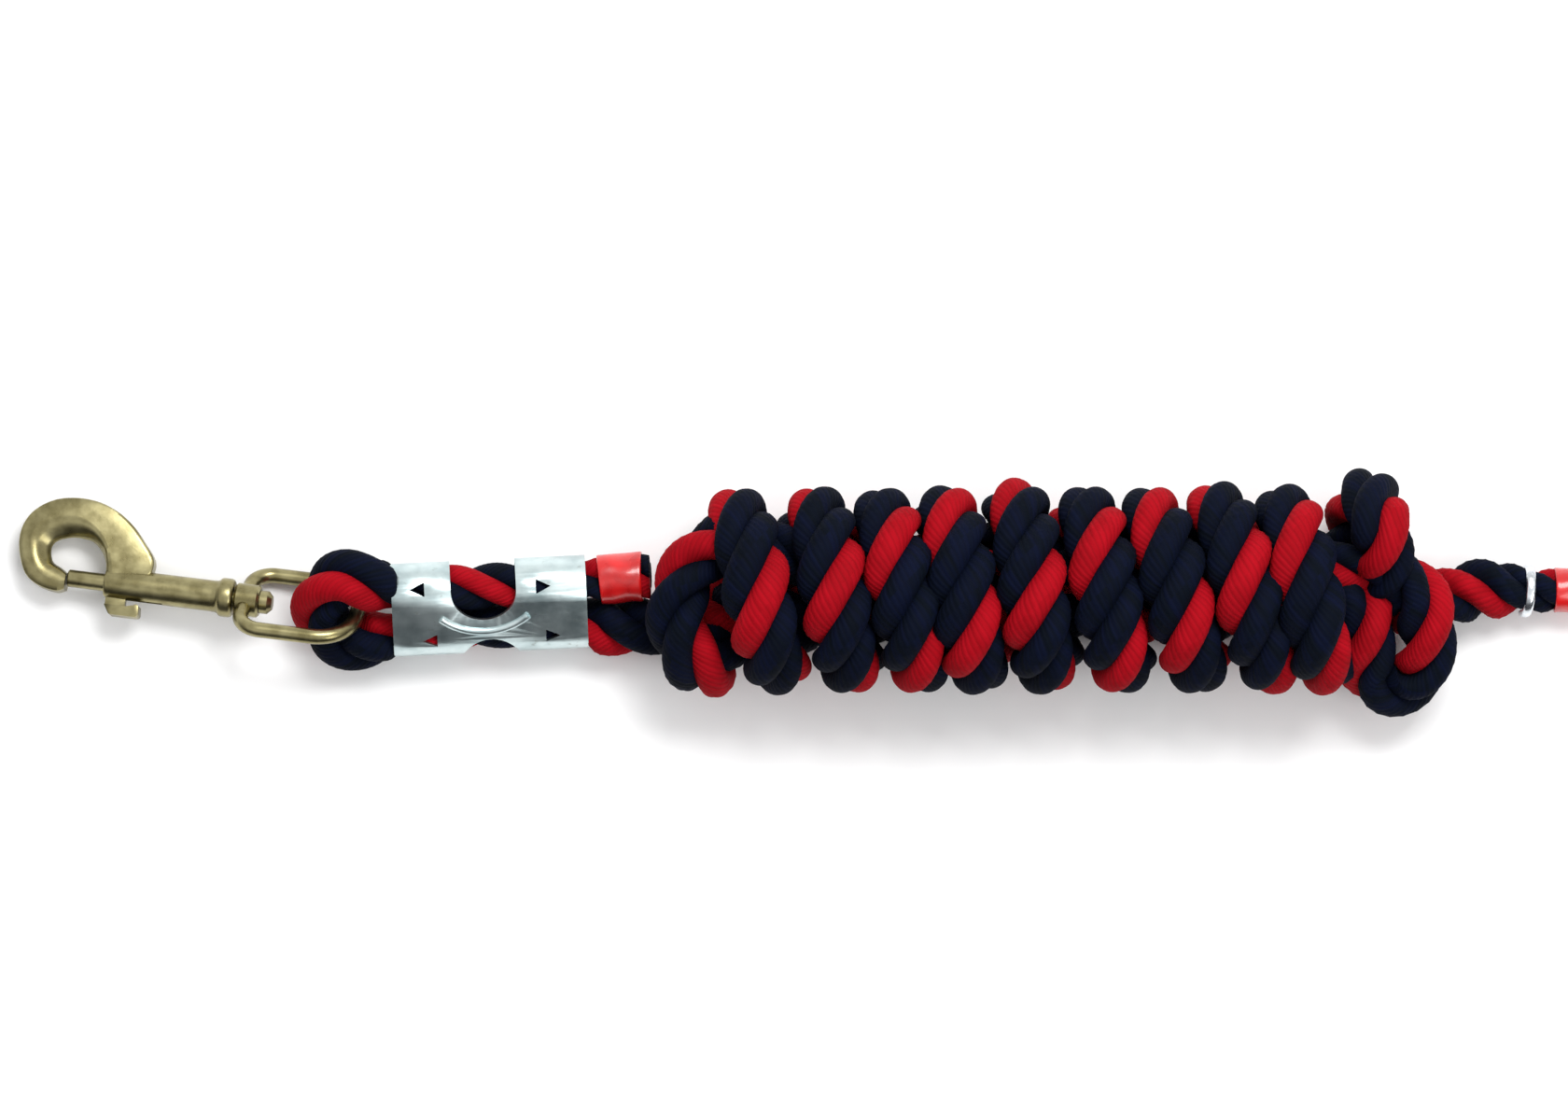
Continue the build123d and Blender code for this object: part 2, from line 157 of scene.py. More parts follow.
def rgb(red, green, blue):
    """Linear colour from the eight-bit one on a paint card."""
    def line(value):
        value = value / 255
        return value / 12.92 if value <= 0.04045 else ((value + 0.055) / 1.055) ** 2.4
    return (line(red), line(green), line(blue), 1.0)


# ------------------------------------------------------------------ mesh helpers

def unit(vectors):
    """The same directions at length 1."""
    return vectors / np.linalg.norm(vectors, axis=-1, keepdims=True)


def smooth(share):
    """0 to 1 with a soft start and a soft end."""
    share = np.clip(share, 0, 1)
    return share * share * (3 - 2 * share)


def grid_faces(rows, columns, first=0):
    """Four-sided faces between the closed rows of a grid whose points start at first."""
    r = np.arange(rows - 1)[:, None]
    c = np.arange(columns)[None, :]
    after = (c + 1) % columns
    row, next_row = r * columns, (r + 1) * columns
    faces = np.stack([row + c, row + after, next_row + after, next_row + c], -1)
    return faces.reshape(-1, 4) + first


def fan(pole, first, columns, turned=False):
    """Three-sided faces from a pole to the closed row of points that starts at first."""
    k = np.arange(columns)
    after = (k + 1) % columns
    near, far = (after, k) if turned else (k, after)
    return np.stack([np.full(columns, pole), first + near, first + far], -1)


def mesh_object(name, points, blocks, materials, shown_smooth=True, uv=None, slots=None):
    """A mesh from its points and its blocks of faces, each block an array of corner numbers; uv is one pair
    for each face corner."""
    mesh = bpy.data.meshes.new(name)
    faces = [face for block in blocks for face in np.asarray(block).tolist()]
    mesh.from_pydata(np.asarray(points, float).reshape(-1, 3).tolist(), [], faces)
    for material in materials:
        mesh.materials.append(material)
    mesh.polygons.foreach_set("use_smooth", np.full(len(mesh.polygons), shown_smooth))
    if slots is not None:
        mesh.polygons.foreach_set("material_index", np.asarray(slots, np.int32))
    if uv is not None:
        layer = mesh.uv_layers.new(name="yarns")
        layer.data.foreach_set("uv", np.asarray(uv, np.float32).ravel())
    mesh.update()
    made = bpy.data.objects.new(name, mesh)
    bpy.context.scene.collection.objects.link(made)
    return made


# ------------------------------------------------------------------ camera, floor and light

CAMERA_HEIGHT = 3.2
OBJECT_MIDDLE = 0.02       # height above the floor where the view is VIEW_WIDTH wide
VIEW_WIDTH = 0.4898
SENSOR = 36

camera_data = bpy.data.cameras.new("camera")
camera_data.sensor_width = SENSOR
camera_data.lens = SENSOR * (CAMERA_HEIGHT - OBJECT_MIDDLE) / VIEW_WIDTH
camera = bpy.data.objects.new("camera", camera_data)
camera.location = (-0.00875, 0.00948, CAMERA_HEIGHT)
bpy.context.scene.collection.objects.link(camera)
bpy.context.scene.camera = camera
bpy.context.scene.view_settings.view_transform = "Standard"


def floor():
    """A flat pale square just under the object."""
    material = Finish("pale_floor").done(Base_Color=(0.95, 0.95, 0.95, 1), Roughness=0.9)
    half, z = 6.0, -0.0002
    points = [(-half, -half, z), (half, -half, z), (half, half, z), (-half, half, z)]
    mesh_object("floor", points, [[(0, 1, 2, 3)]], [material], False)


def lamp(name, place, size, power):
    """A soft rectangular lamp aimed at the object."""
    data = bpy.data.lights.new(name, "AREA")
    data.shape = "RECTANGLE"
    data.size, data.size_y = size
    data.energy = power
    made = bpy.data.objects.new(name, data)
    made.location = place
    made.rotation_euler = (-Vector(place)).to_track_quat("-Z", "Y").to_euler()
    bpy.context.scene.collection.objects.link(made)


def light():
    """A room brighter above and behind, darker low down and dimmer straight overhead, and two lamps."""
    world = bpy.data.worlds.new("soft_room")
    bpy.context.scene.world = world
    room = Finish("soft_room", world)
    way = room.add("ShaderNodeSeparateXYZ", {}, {0: room.add("ShaderNodeTexCoord", output="Generated")})
    height = way.part("Z") * 0.85 + way.part("Y") * 0.5
    tones = [(0.05, (0.04, 0.04, 0.045, 1)), (0.40, (0.42, 0.42, 0.43, 1)), (0.66, (1, 1, 1, 1)),
             (0.85, (0.62, 0.62, 0.62, 1)), (1.00, (1, 1, 1, 1))]
    tone = room.add("ShaderNodeValToRGB", {"stops": tones}, {0: height})
    sky = room.add("ShaderNodeBackground", {}, {"Color": tone, "Strength": 1.2})
    room.add("ShaderNodeOutputWorld", {}, {"Surface": sky})
    lamp("key", (0.35, 0.9, 1.5), (0.9, 0.6), 22)
    lamp("fill", (0.9, -0.7, 1.3), (0.8, 0.8), 8)


floor()
light()


# ------------------------------------------------------------------ the rope's route

# points of the route in metres, stretch by stretch from the short end
SHORT_END = [(-.0506, .0043, .0183), (-.0620, .0039, .0176), (-.0708, .0028, .0176), (-.0910, .0018, .0183),
             (-.1110, .0009, .0189), (-.1315, -.0001, .0196)]
EYE_LOOP = [(-.1380, .0029, .0241), (-.1483, .0046, .0233), (-.1560, -.0045, .0156), (-.1499, -.0155, .0092),
            (-.1395, -.0167, .0104), (-.1311, -.0125, .0116)]
LEAD = [(-.1110, -.0115, .0109), (-.0910, -.0105, .0103), (-.0704, -.0096, .0096), (-.0605, -.0116, .0098),
        (-.0505, -.0112, .0098), (-.0380, -.0085, .0112), (-.0220, -.0050, .0160)]
FIRST_RUN = [(-.0050, -.0058, .0208), (.0300, -.0060, .0220), (.0750, -.0060, .0220), (.1200, -.0060, .0220),
             (.1480, -.0040, .0250)]
BIGHT = [(.1630, .0015, .0290), (.1712, -.0030, .0310), (.1726, -.0130, .0290), (.1726, -.0248, .0210),
         (.1780, -.0302, .0185), (.1856, -.0302, .0180), (.1910, -.0248, .0210), (.1920, -.0130, .0290),
         (.1905, -.0020, .0320), (.1810, .0070, .0330), (.1650, .0080, .0350)]
SECOND_RUN = [(.1200, .0060, .0335), (.0750, .0060, .0335), (.0300, .0060, .0335), (-.0020, .0090, .0350)]
LEFT_TURN = [(-.0140, .0130, .0365), (-.0260, .0165, .0360), (-.0370, .0095, .0355), (-.0428, -.0030, .0345),
             (-.0418, -.0150, .0325), (-.0362, -.0240, .0285), (-.0312, -.0250, .0200)]
DIVE = [(.1760, .0225, .0465), (.1768, .0150, .0440), (.1778, .0090, .0375), (.1795, .0030, .0285),
        (.1825, -.0030, .0190), (.1885, -.0055, .0125), (.1975, -.0030, .0102)]
TAIL = [(.2070, .0006, .0099), (.2190, .0003, .0098), (.2310, .0000, .0093), (.2486, -.0002, .0086)]

# the wraps, in millimetres
NEAR_EDGE = [-30.6, -11.1, 11.7, 33.5, 51.3, 72.3, 96.2, 120.1, 142.9, 159.5]   # X where each wrap goes under
FAR_EDGE = [-23.3, 1.7, 22.2, 42.0, 64.1, 85.7, 105.2, 125.9, 147.2, 173.5]     # X where it comes up again
FAR_BULGE = [0, 0.4, -0.3, 0.6, 2.6, 0.4, 0.2, 1.8, 0.6, 6.6]                   # how much further out in Y that is
WRAP_A, WRAP_B, WRAP_Z = 23.0, 20.2, 29.95      # half width, half height and middle height of the wraps
WRAP_SQUARE = 0.015        # how much further out the oval's shoulders are
FIRST_ANGLE = 0.625        # share of a turn where the left turn hands over to the wraps
POINTS_A_TURN = 16


def wraps():
    """Ten wraps round the hank: Y and Z go round a slightly squared oval, a cosine and a sine of one angle,
    while X goes evenly from edge to edge."""
    edge_turn, edge_x = [], []
    for k, (near, far) in enumerate(zip(NEAR_EDGE, FAR_EDGE)):
        edge_turn += [k + 0.5, k + 1.0]
        edge_x += [near, far]
    turn = np.arange(FIRST_ANGLE, len(FAR_EDGE) + 1e-6, 1 / POINTS_A_TURN)
    angle = turn * 2 * math.pi
    square = (1 + WRAP_SQUARE * np.sin(2 * angle) ** 2) / math.cos(math.pi / POINTS_A_TURN)
    x = np.interp(turn, edge_turn, edge_x)
    bulge = np.interp(turn, np.arange(1, len(FAR_EDGE) + 1), FAR_BULGE) * np.clip(np.cos(angle), 0, 1)
    y = (WRAP_A * square * np.cos(angle)) + bulge
    z = WRAP_Z + WRAP_B * square * np.sin(angle)
    return [tuple(p) for p in np.stack([x, y, z], -1) * MM]


def spline_line(name, points):
    """Points along the smooth spline that has the route's points as its control points."""
    data = bpy.data.curves.new(name, "CURVE")
    data.dimensions = "3D"
    data.resolution_u = 24
    spline = data.splines.new("NURBS")
    spline.points.add(len(points) - 1)
    spline.points.foreach_set("co", np.column_stack([points, np.ones(len(points))]).ravel())
    spline.order_u = 3
    spline.use_endpoint_u = True
    holder = bpy.data.objects.new(name, data)
    mesh = bpy.data.meshes.new_from_object(holder)
    line = np.zeros(len(mesh.vertices) * 3)
    mesh.vertices.foreach_get("co", line)
    bpy.data.meshes.remove(mesh)
    bpy.data.objects.remove(holder)
    bpy.data.curves.remove(data)
    return line.reshape(-1, 3)


PATH_STEP = 0.0008


class Path:
    """A line by its length, with a frame carried along it that doesn't turn about the line."""

    def __init__(self, line):
        gaps = np.linalg.norm(np.diff(line, axis=0), axis=1)
        keep = np.concatenate([[True], gaps > 1e-7])
        line = line[keep]
        along = np.concatenate([[0], np.cumsum(np.linalg.norm(np.diff(line, axis=0), axis=1))])
        self.length = along[-1]
        self.s = np.linspace(0, self.length, int(self.length / PATH_STEP) + 1)
        self.p = np.stack([np.interp(self.s, along, line[:, i]) for i in range(3)], -1)
        self.t = unit(np.gradient(self.p, axis=0))
        side = np.cross(self.t[0], (0, 0, 1.0))
        sides = [side / np.linalg.norm(side)]
        for t in self.t[1:]:
            side = sides[-1] - t * (sides[-1] @ t)
            sides.append(side / math.sqrt(side @ side))
        self.n = np.array(sides)
        self.b = np.cross(self.t, self.n)

    def nearest(self, point):
        """Length along the line of its nearest place to a point."""
        return self.s[np.argmin(np.linalg.norm(self.p - np.array(point), axis=1))]

    def at(self, s, what):
        """The line's points or frame at these lengths along it."""
        return np.stack([np.interp(s, self.s, what[:, i]) for i in range(3)], -1)


route = SHORT_END + EYE_LOOP + LEAD + FIRST_RUN + BIGHT + SECOND_RUN + LEFT_TURN + wraps() + DIVE + TAIL
rope_path = Path(spline_line("rope_route", route))

# Y of the red strand on top of each wrap
FRONT_RED = [-8.9, -1.5, 20.8, -21.2, -6.3, 19.8, -19.4, 5.3, 22.7]


def red_marks():
    """Where the red strand faces which way: a place in millimetres, and the way it faces there."""
    up = (0, 0, 1)
    marks = [((-102.6, 1.4, 18.7), up), ((-131.5, 0, 19.6), (0, -1, -0.15)),
             ((-156, -4.5, 15.6), (-1, 0, 0.8)), ((-65, -10.6, 9.8), (0, -1, 0.3)),
             ((-35, 9, 35), (-0.62, 0.65, 0.45)), ((-33, -23.5, 27), (0.55, -0.35, 0.75)),
             ((172.7, -14, 28.5), up), ((191.2, -14, 28.5), up), ((177.3, 12, 41), (0, -0.75, 0.65)),
             ((204.7, 0.2, 9.9), up)]
    for y, far, near in zip(FRONT_RED, FAR_EDGE, NEAR_EDGE[1:]):
        angle = math.acos(y / (WRAP_A + ROPE_D / 2 / MM))
        x = far + (near - far) * angle / math.pi
        facing = (0, math.cos(angle), math.sin(angle))
        marks.append(((x, WRAP_A * facing[1], WRAP_Z + WRAP_B * facing[2]), facing))
    return marks


TAIL_LENGTH = 0.07
EASED_OVER = 31            # steps of the line on each side that the strands' turning is averaged over


def strand_turn(path):
    """Angle of the red strand in the carried frame: straight from mark to mark, with the whole turns that
    come nearest to the lay, and averaged over a short stretch."""
    stations = []
    for place, facing in red_marks():
        s = path.nearest(np.array(place) * MM)
        facing = np.array(facing, float)
        n, b = path.at([s], path.n)[0], path.at([s], path.b)[0]
        stations.append((s, math.atan2(facing @ b, facing @ n)))
    stations.sort()
    tail_from = path.length - TAIL_LENGTH
    s_marks, turns = [], []
    for s, angle in stations:
        if turns:
            lay = TAIL_LAY if s > tail_from else LAY
            wanted = turns[-1] + 2 * math.pi * (s - s_marks[-1]) / lay
            angle += 2 * math.pi * round((wanted - angle) / (2 * math.pi))
        s_marks.append(s)
        turns.append(angle)
    before = turns[0] - 2 * math.pi / LAY * s_marks[0]
    after = turns[-1] + 2 * math.pi / TAIL_LAY * (path.length - s_marks[-1])
    raw = np.interp(path.s, [0.0] + s_marks + [path.length], [before] + turns + [after])
    lead_in = 2 * raw[0] - raw[EASED_OVER:0:-1]
    lead_out = 2 * raw[-1] - raw[-2:-EASED_OVER - 2:-1]
    kernel = np.ones(2 * EASED_OVER + 1) / (2 * EASED_OVER + 1)
    return np.convolve(np.concatenate([lead_in, raw, lead_out]), kernel, "valid")


rope_turn = strand_turn(rope_path)


# ------------------------------------------------------------------ strands

CLAMP_ALONG = np.array([60.7, 2.9, -2.0])       # from the clamp's left end to its right end
CLAMP_ROLL = math.radians(33)

# the rope's size over its free size, by places along it in millimetres
TAPED_END = [((-50.6, 4.3, 18.3), .75), ((-66, 3.6, 17.7), .755), ((-71, 2.8, 17.6), .84),
             ((-80, 2, 18), .97)]
ROUND_EYE = [((-131, 0, 19.6), .96), ((-156, -4.5, 15.6), .92), ((-131, -12.5, 11.6), .96),
             ((-80, -10, 10), 1.0), ((-60, -11.5, 9.8), 1.0), ((-25, -5, 15.5), .95)]
INSIDE_HANK = [((0, -6, 21), .80), ((140, -5, 24.5), .80), ((168, -1, 30), .98), ((190.5, -2, 32), .98),
               ((165, 8, 35), .80), ((10, 7, 34.5), .80), ((-14, 13, 36.5), .97), ((-26, 16, 36), 1.0)]
CRIMPED_END = [((207, .6, 9.9), 1.0), ((216, .4, 9.8), .97), ((221.5, .2, 9.7), .80),
               ((224.6, 0, 9.6), .60), ((227.5, 0, 9.4), .74), ((230.5, 0, 9.3), .76),
               ((232.6, 0, 9.2), .69), ((248.6, -.2, 8.6), .69)]


def clamp_axes():
    """Across and out of the clamp, as its solid lies."""
    along = unit(CLAMP_ALONG)
    across = np.array([0, math.cos(CLAMP_ROLL), math.sin(CLAMP_ROLL)])
    across = unit(across - along * (across @ along))
    return across, np.cross(along, across)


def rope_size(path, s):
    """The rope's size over its free size, evenly from place to place, where things draw it in."""
    places = TAPED_END + ROUND_EYE + INSIDE_HANK + CRIMPED_END
    at = [path.nearest(np.array(p) * MM) for p, _ in places]
    return np.interp(s, at, [size for _, size in places])


def between(path, s, first, last, ramp):
    """1 along the rope between two places on it, 0 outside, smooth over the ramp."""
    a, b = sorted((path.nearest(np.array(first) * MM), path.nearest(np.array(last) * MM)))
    return smooth((s - a + ramp) / ramp) * smooth((b + ramp - s) / ramp)


def squeezed(offset, path, s):
    """Offsets from the rope's line, each axis scaled: pressed in by the clamp, and spread sideways and
    flattened where the wraps cross over and under the hank."""
    across, out = clamp_axes()
    in_clamp = between(path, s, (-70.8, 2.8, 17.6), (-131.5, 0, 19.6), 0.005) + \
        between(path, s, (-70.4, -9.6, 9.6), (-131.1, -12.5, 11.6), 0.005)
    wound = between(path, s, (-31, -23, 30), (174, 29, 30), 0.01)
    flat = wound * path.at(s, path.t)[:, 1] ** 2
    along = np.array([1.0, 0, 0])
    up = np.array([0, 0, 1.0])
    for axis, share in ((across, -0.27 * in_clamp), (out, -0.135 * in_clamp), (along, 0.17 * flat),
                        (up, -0.1 * flat)):
        offset = offset + (offset @ axis)[..., None] * axis * share[:, None, None]
    return offset


WOUND_GAP, LOOP_GAP, HIDDEN_GAP = 0.0022, 0.0014, 0.007     # between the strands' cross sections
LOOP_END = 0.16            # length along the rope that has the loop in it
STRAND_SIDES = 26


def stations(path):
    """Places along the rope, close together where it shows and further apart inside the hank."""
    runs = [(path.nearest(np.array(a) * MM), path.nearest(np.array(b) * MM))
            for a, b in (((10, -6, 21.5), (140, -5, 24.5)), ((140, 7, 34), (15, 7, 34)))]
    gap = np.full(len(path.s), WOUND_GAP)
    gap[path.s < LOOP_END] = LOOP_GAP
    for a, b in runs:
        gap[(path.s > a) & (path.s < b)] = HIDDEN_GAP
    count = np.concatenate([[0], np.cumsum(np.diff(path.s) / gap[:-1])])
    return np.interp(np.linspace(0, count[-1], int(count[-1]) + 1), count, path.s)


def strands(path, turn, materials):
    """Three strands laid round the rope's line. Each is an oval in the plane square to the rope, its middle
    turning about the line by the lay, and its yarns turning back against it."""
    s = stations(path)
    p, n, b = path.at(s, path.p), path.at(s, path.n), path.at(s, path.b)
    phi = np.interp(s, path.s, turn)
    size = rope_size(path, s)
    rows, columns = len(s), STRAND_SIDES
    t = np.linspace(0, 2 * math.pi, columns, endpoint=False)
    ring = t - 0.22 * np.sin(t)
    yarn_turn = YARN_TURN * s
    all_points, blocks, all_uv, all_slots = [], [], [], []
    for strand in range(3):
        centre = phi + strand * 2 * math.pi / 3
        outward = n * np.cos(centre)[:, None] + b * np.sin(centre)[:, None]
        sideways = b * np.cos(centre)[:, None] - n * np.sin(centre)[:, None]
        offset = (outward[:, None, :] * (STRAND_AT + STRAND_DEEP * np.cos(ring))[None, :, None]
                  + sideways[:, None, :] * (STRAND_WIDE * np.sin(ring))[None, :, None])
        offset = squeezed(offset * size[:, None, None], path, s)
        grid = (p[:, None, :] + offset).reshape(-1, 3)
        first = sum(len(g) for g in all_points)
        middle = p + outward * (STRAND_AT * size)[:, None]
        poles = np.array([middle[0], middle[-1]])
        angle = np.concatenate([ring, [2 * math.pi]])
        u = (angle[None, :] - yarn_turn[:, None]) / (2 * math.pi) * YARNS
        v = np.repeat(s[:, None] / 0.0016, columns + 1, 1)
        corners = [(slice(0, -1), slice(0, -1)), (slice(0, -1), slice(1, None)),
                   (slice(1, None), slice(1, None)), (slice(1, None), slice(0, -1))]
        uv = np.stack([np.stack([u[c], v[c]], -1) for c in corners], 2).reshape(-1, 2)
        start, last = first + len(grid), first + (rows - 1) * columns
        cap_uv = np.tile([[0.5, 0.0]], (2 * columns * 3, 1)) + strand
        all_points += [grid, poles]
        blocks += [grid_faces(rows, columns, first), fan(start, first, columns, True),
                   fan(start + 1, last, columns)]
        all_uv += [uv, cap_uv]
        all_slots += [min(strand, 1)] * ((rows - 1) * columns + 2 * columns)
    return mesh_object("rope", np.concatenate(all_points), blocks, materials, True,
                       np.concatenate(all_uv), all_slots)


def cotton(name, dark_tone_and_groove_shade, usual, bright):
    """Dyed cotton yarn: fine ridges along the yarns, fibres across them, and a soft sheen, with painted shade in
    the grooves between the yarns and darker patches at random.
    """
    finish = Finish(name)
    uv = finish.add("ShaderNodeUVMap", {"uv_map": "yarns"})
    parts = finish.add("ShaderNodeSeparateXYZ", {}, {0: uv})
    yarn, length = parts.part(0), parts.part(1)
    ridge = (yarn * (2 * math.pi)).math("COSINE") * 0.5 + 0.5
    twisted = finish.add("ShaderNodeCombineXYZ", {}, {0: yarn * 2.2 + length * 0.9, 1: length * 0.16, 2: 0.0})
    fibres = finish.noise(twisted, 2.4, 3.0)
    wide = finish.noise(finish.place(), 70.0, 3.0)
    streaked = finish.add("ShaderNodeCombineXYZ", {}, {0: yarn * 0.55, 1: length * 0.05, 2: 3.0})
    across = finish.noise(streaked, 1.0, 2.0)
    height = ridge * 0.7 + fibres * 0.6
    colour = finish.mix(across.step(0.35, 0.65) * 0.55, usual, bright)
    # painted shade: the colour goes towards the darkest one in the grooves between the yarns; the cloudy share is
    # random darker tone of the yarn
    colour = finish.mix((1 - ridge.step(0.0, 0.45)) * 0.24 + (1 - wide.step(0.3, 0.6)) * 0.2, colour, dark_tone_and_groove_shade)
    normal = finish.bump(height, 0.00025, 0.7)
    return finish.done(Base_Color=colour, Roughness=0.82, Normal=normal, Specular_IOR_Level=0.1,
                       Sheen_Weight=0.03, Sheen_Roughness=0.5, Sheen_Tint=bright)


# the first colour is both the painted shade in the yarn grooves and the random darker patches
red_cotton = cotton("red_cotton", rgb(86, 0, 5), rgb(149, 2, 17), rgb(170, 6, 25))
navy_cotton = cotton("navy_cotton", rgb(0, 1, 6), rgb(0, 6, 18), rgb(4, 12, 42))
rope = strands(rope_path, rope_turn, [red_cotton, navy_cotton])
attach(rope, "rope")
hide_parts("rope_eye_loop", "rope_in_clamp", "rope_short_end", "rope_lead", "rope_hank", "rope_tail")


# ------------------------------------------------------------------ metal finishes

def nickel_finish():
    """Warm nickel plate on a die casting: bright, a little uneven, duller in fine scratches."""
    finish = Finish("warm_nickel")
    where = finish.place()
    cloud = finish.noise(where, 160.0, 4.0)
    grain = finish.noise(where, 1400.0, 2.0)
    colour = finish.mix(cloud.step(0.3, 0.7), rgb(124, 116, 80), rgb(160, 152, 112))
    rough = 0.19 + cloud * 0.14 + grain * 0.08
    normal = finish.bump(cloud * 0.7 + grain * 0.3, 0.00012, 0.35)
    return finish.done(Base_Color=colour, Metallic=1.0, Roughness=rough, Normal=normal)


def zinc_finish():
    """Zinc plated sheet: cool and cloudy, with a few dull stains and fine drawn grain."""
    finish = Finish("zinc_plate")
    where = finish.place()
    cloud = finish.noise(where, 90.0, 4.0)
    stain = finish.noise(finish.place(scale=(1, 1.6, 1)), 210.0, 5.0).step(0.60, 0.74)
    grain = finish.noise(finish.place(scale=(0.25, 1, 1)), 1500.0, 2.0)
    colour = finish.mix(cloud.step(0.3, 0.7), rgb(170, 188, 190), rgb(212, 226, 226))
    colour = finish.mix(stain * 0.55, colour, rgb(110, 112, 102))
    rough = 0.2 + cloud * 0.16 + grain * 0.1 + stain * 0.12
    normal = finish.bump(cloud * 0.8 + grain * 0.2, 0.00016, 0.45)
    return finish.done(Base_Color=colour, Metallic=1.0, Roughness=rough, Normal=normal)


def wire_finish(name, colour, lighter, dull):
    """Drawn wire with faint marks."""
    finish = Finish(name)
    marks = finish.noise(finish.place(), 700.0, 3.0)
    shade = finish.mix(marks.step(0.3, 0.7), colour, lighter)
    return finish.done(Base_Color=shade, Metallic=1.0, Roughness=dull + marks * 0.12,
                       Normal=finish.bump(marks, 0.00008, 0.4))


def tape_finish():
    """Glossy red adhesive tape, slightly puckered."""
    finish = Finish("red_tape")
    where = finish.place()
    pucker = finish.noise(finish.place(scale=(0.5, 1, 1)), 260.0, 3.0)
    cloud = finish.noise(where, 120.0, 2.0)
    colour = finish.mix(cloud.step(0.3, 0.7), rgb(176, 10, 14), rgb(212, 24, 24))
    return finish.done(Base_Color=colour, Roughness=0.22 + cloud * 0.12, Coat_Weight=0.4, Coat_Roughness=0.12,
                       Normal=finish.bump(pucker, 0.0003, 0.6))


nickel = nickel_finish()
zinc = zinc_finish()
spring_steel = wire_finish("spring_steel", rgb(150, 150, 150), rgb(176, 176, 176), 0.25)
ring_metal = wire_finish("ring_wire", rgb(205, 210, 214), rgb(231, 236, 240), 0.16)
red_tape = tape_finish()


# ------------------------------------------------------------------ bolt snap

swivel = [j for j in frame["record"]["behaviour"]["joints"] if j["name"] == "snap_swivel"][0]
SNAP_AT = np.array(swivel["pos_m"])
SNAP_U = unit(np.array(swivel["axis"], float))
SNAP_ROLL = math.radians(-7.5)      # the hook's plate lies turned this much about the snap's axis
SNAP_LEVEL = unit(np.cross((0, 0, 1.0), SNAP_U))
SNAP_V = SNAP_LEVEL * math.cos(SNAP_ROLL) + np.cross(SNAP_U, SNAP_LEVEL) * math.sin(SNAP_ROLL)
SNAP_W = np.cross(SNAP_U, SNAP_V)


def in_snap(u, v, w):
    """Places in metres from millimetres along the snap's axis, towards the hook's crown, and out of its
    plate."""
    return SNAP_AT + (np.asarray(u)[..., None] * SNAP_U + np.asarray(v)[..., None] * SNAP_V
                      + np.asarray(w)[..., None] * SNAP_W) * MM


def through(knots, count):
    """Points on a smooth line through the knots: cubic pieces whose slopes come from the neighbours."""
    knots = np.array(knots, float)
    slopes = np.gradient(knots, axis=0)
    t = np.linspace(0, len(knots) - 1, count)
    k = np.clip(t.astype(int), 0, len(knots) - 2)
    f = (t - k)[:, None]
    a, b, m, n = knots[k], knots[k + 1], slopes[k], slopes[k + 1]
    starts = a * (1 + 2 * f) * (1 - f) ** 2 + m * f * (1 - f) ** 2
    ends = b * f * f * (3 - 2 * f) + n * f * f * (f - 1)
    return starts + ends


# each row crosses the hook, from its tip over the crown to the web: outer edge, ridge, rim and throat
HOOK = [((-53.4, -3.9), (-53.4, -1.7), (-53.4, 0.9), (-53.4, 1.5)),
        ((-56.2, -4.8), (-56.6, -1.8), (-56.0, 2.2), (-55.4, 2.8)),
        ((-61.4, -3.8), (-61.0, -0.2), (-59.8, 3.6), (-58.2, 4.2)),
        ((-65.9, -1.0), (-63.9, 2.8), (-61.8, 5.6), (-59.3, 6.2)),
        ((-68.6, 4.2), (-65.4, 6.8), (-62.6, 8.2), (-59.6, 8.6)),
        ((-69.8, 10.0), (-66.0, 11.0), (-62.4, 10.5), (-59.0, 10.2)),
        ((-69.0, 15.4), (-64.6, 14.8), (-60.8, 12.6), (-57.6, 11.4)),
        ((-65.9, 20.1), (-61.6, 17.4), (-57.8, 14.3), (-55.2, 12.4)),
        ((-60.2, 23.8), (-57.2, 18.9), (-54.6, 15.2), (-52.8, 12.9)),
        ((-53.2, 25.2), (-52.2, 19.1), (-51.2, 15.2), (-50.2, 12.9)),
        ((-46.2, 24.7), (-47.8, 17.4), (-47.5, 14.2), (-47.3, 12.4)),
        ((-39.8, 22.3), (-44.0, 14.2), (-44.8, 12.3), (-44.9, 10.9)),
        ((-34.6, 18.6), (-41.8, 10.6), (-42.7, 9.9), (-43.1, 8.7)),
        ((-30.2, 13.7), (-40.7, 7.6), (-41.8, 7.4), (-42.0, 6.4)),
        ((-26.7, 9.0), (-40.1, 5.4), (-41.3, 5.2), (-41.3, 4.6)),
        ((-26.6, 5.0), (-39.6, 3.2), (-41.1, 3.0), (-41.1, 3.0)),
        ((-28.6, 1.2), (-39.4, 1.2), (-40.9, 1.0), (-40.9, 1.2))]

# across one row: which two of its four places, how far between them, and the height above the plate's middle
HOOK_SECTION = [(0, 1, 0.00, 0.0), (0, 1, 0.00, 2.5), (0, 1, 0.03, 2.9), (0, 1, 0.10, 3.15),
                (0, 1, 0.50, 3.5), (0, 1, 0.93, 3.95), (1, 2, 0.06, 4.0), (1, 2, 0.45, 3.75),
                (1, 2, 0.80, 3.2), (2, 3, 0.0, 2.6),
                (2, 3, 0.45, 1.9), (2, 3, 0.85, 0.9)]

